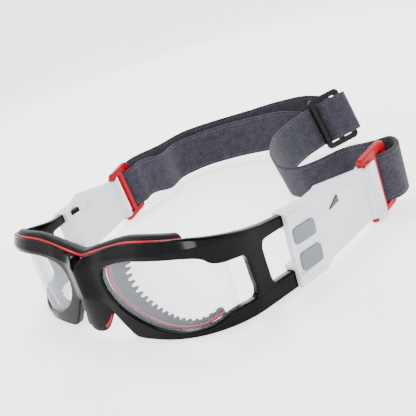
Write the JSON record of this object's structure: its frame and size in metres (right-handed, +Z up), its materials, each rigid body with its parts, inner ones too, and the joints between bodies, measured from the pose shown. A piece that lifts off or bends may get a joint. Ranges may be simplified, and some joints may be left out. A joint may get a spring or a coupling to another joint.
{
  "type": "sports goggles",
  "caption": "Wrap-around protective sports goggles with clear lenses, padded brow and nose, vented arms, push-on strap clips, swivelling strap rings and an elastic strap with a slider.",
  "frame": {"origin": "bottom centre of the whole bounding box, on the plane the frame's lower edge rests on", "axes": "+Z up; -Y the way the wearer looks, +Y towards the strap; +X the wearer's left"},
  "size_m": [0.1789, 0.2282, 0.0456],
  "materials": {
    "frame_black": "glossy black, moulded",
    "lens_clear": "clear polycarbonate",
    "rubber_black": "soft, satin",
    "rubber_red": "soft, satin",
    "clip_clear": "frosted, translucent white",
    "grip_grey": "ribbed, satin",
    "latch_black": "satin",
    "ring_red": "glossy red",
    "slider_black": "satin",
    "webbing": "woven elastic, charcoal"
  },
  "bodies": {
    "frame": {"frame": "frame_black", "left_lens": "lens_clear", "right_lens": "lens_clear", "left_skirt_strip": "rubber_red", "right_skirt_strip": "rubber_red", "left_skirt": "rubber_black", "right_skirt": "rubber_black", "left_nose_stripe": "rubber_red", "right_nose_stripe": "rubber_red", "nose_pad": "rubber_black", "brow_strip": "rubber_red", "brow_pad": "rubber_black"},
    "strap": {"left_clip": "clip_clear", "right_clip": "clip_clear", "left_upper_grip": "grip_grey", "right_upper_grip": "grip_grey", "left_lower_grip": "grip_grey", "right_lower_grip": "grip_grey", "left_latch": "latch_black", "right_latch": "latch_black", "right_strap": "webbing", "left_strap": "webbing"},
    "left_ring": {"left_ring": "ring_red"},
    "right_ring": {"right_ring": "ring_red"},
    "slider": {"slider": "slider_black", "slider_strap_fold": "webbing", "sewn_strap_end": "webbing"}
  },
  "joints": [
    {"name": "strap_release", "type": "slide", "parent": "frame", "child": "strap", "axis": [0, 1, 0], "range_m": [0, 0.016]},
    {"name": "left_ring_swivel", "type": "hinge", "parent": "strap", "child": "left_ring", "pos_m": [0.0798, -0.0032, 0.0164], "axis": [-0.0188, -0.1379, 0.9903], "range_deg": [-5, 5]},
    {"name": "right_ring_swivel", "type": "hinge", "parent": "strap", "child": "right_ring", "pos_m": [-0.0798, -0.0032, 0.0164], "axis": [0.0188, -0.1379, 0.9903], "range_deg": [-5, 5]},
    {"name": "slider_slide", "type": "slide", "parent": "strap", "child": "slider", "axis": [0.569, 0.8154, 0.1062], "range_m": [0, 0.004]}
  ]
}
